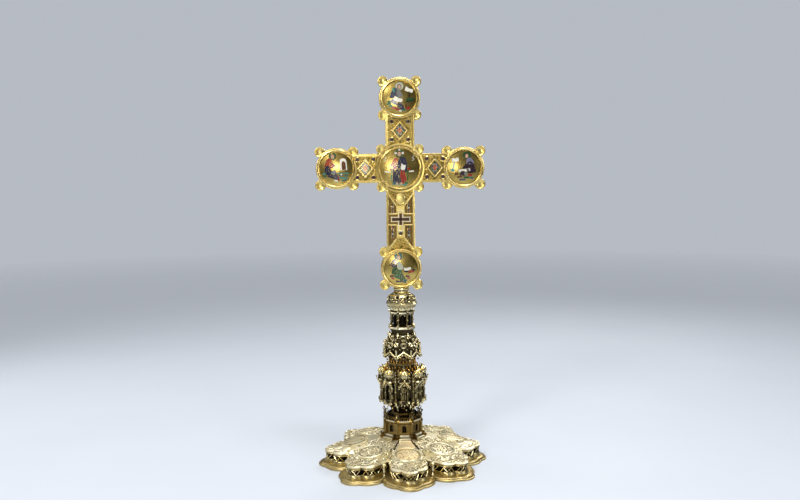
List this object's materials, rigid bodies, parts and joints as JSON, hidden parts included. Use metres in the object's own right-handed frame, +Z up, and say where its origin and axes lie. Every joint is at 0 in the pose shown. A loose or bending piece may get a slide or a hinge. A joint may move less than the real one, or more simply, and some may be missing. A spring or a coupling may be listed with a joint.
{
  "type": "altar reliquary cross",
  "caption": "Standing gold altar cross with round enamel plates on its ends and crossing and a relic window, on an octagonal architectural silver-gilt foot",
  "frame": {"origin": "middle of the foot's flat underside", "axes": "+Z up through the stand and the cross, -Y out of the cross's enamelled face, +X to the right seen from the front"},
  "size_m": [0.2088, 0.2088, 0.4734],
  "materials": {
    "gold": "satin sheet gold with filigree",
    "silver_gilt": "polished silver-gilt with darkened recesses",
    "pale_silver_gilt": "bright pale silver-gilt, chased",
    "cloisonne_enamel": "polished enamel on a gold ground",
    "garnet": "polished dark red stone",
    "relic_wood": "old dark wood"
  },
  "bodies": {
    "root": {"arcaded_drum": "silver_gilt", "bead_strip_1": "cloisonne_enamel", "bead_strip_2": "cloisonne_enamel", "bead_strip_3": "cloisonne_enamel", "bead_strip_4": "cloisonne_enamel", "bezel_bottom": "gold", "bezel_centre": "gold", "bezel_left": "gold", "bezel_right": "gold", "bezel_top": "gold", "cross_body": "gold", "cross_socket": "silver_gilt", "crown_gallery": "silver_gilt", "enamel_bottom": "cloisonne_enamel", "enamel_centre": "cloisonne_enamel", "enamel_left": "cloisonne_enamel", "enamel_right": "cloisonne_enamel", "enamel_top": "cloisonne_enamel", "foot_dome": "pale_silver_gilt", "foot_flange": "silver_gilt", "foot_medallion_1": "pale_silver_gilt", "foot_medallion_2": "pale_silver_gilt", "foot_medallion_3": "pale_silver_gilt", "foot_medallion_4": "pale_silver_gilt", "foot_medallion_5": "pale_silver_gilt", "foot_medallion_6": "pale_silver_gilt", "foot_medallion_7": "pale_silver_gilt", "foot_medallion_8": "pale_silver_gilt", "foot_pinnacle_1": "silver_gilt", "foot_pinnacle_2": "silver_gilt", "foot_pinnacle_3": "silver_gilt", "foot_pinnacle_4": "silver_gilt", "foot_pinnacle_5": "silver_gilt", "foot_pinnacle_6": "silver_gilt", "foot_pinnacle_7": "silver_gilt", "foot_pinnacle_8": "silver_gilt", "gem_01": "garnet", "gem_02": "garnet", "gem_03": "garnet", "gem_04": "garnet", "gem_05": "garnet", "gem_06": "garnet", "gem_07": "garnet", "gem_08": "garnet", "gem_09": "garnet", "gem_10": "garnet", "gem_11": "garnet", "gem_12": "garnet", "lantern": "silver_gilt", "lozenge_enamel_left": "cloisonne_enamel", "lozenge_enamel_right": "cloisonne_enamel", "lozenge_enamel_top": "cloisonne_enamel", "lozenge_left": "gold", "lozenge_right": "gold", "lozenge_top": "gold", "pierced_cap": "silver_gilt", "relic_frame": "gold", "relic_wood": "relic_wood", "tabernacle_knop": "silver_gilt"}
  },
  "joints": []
}
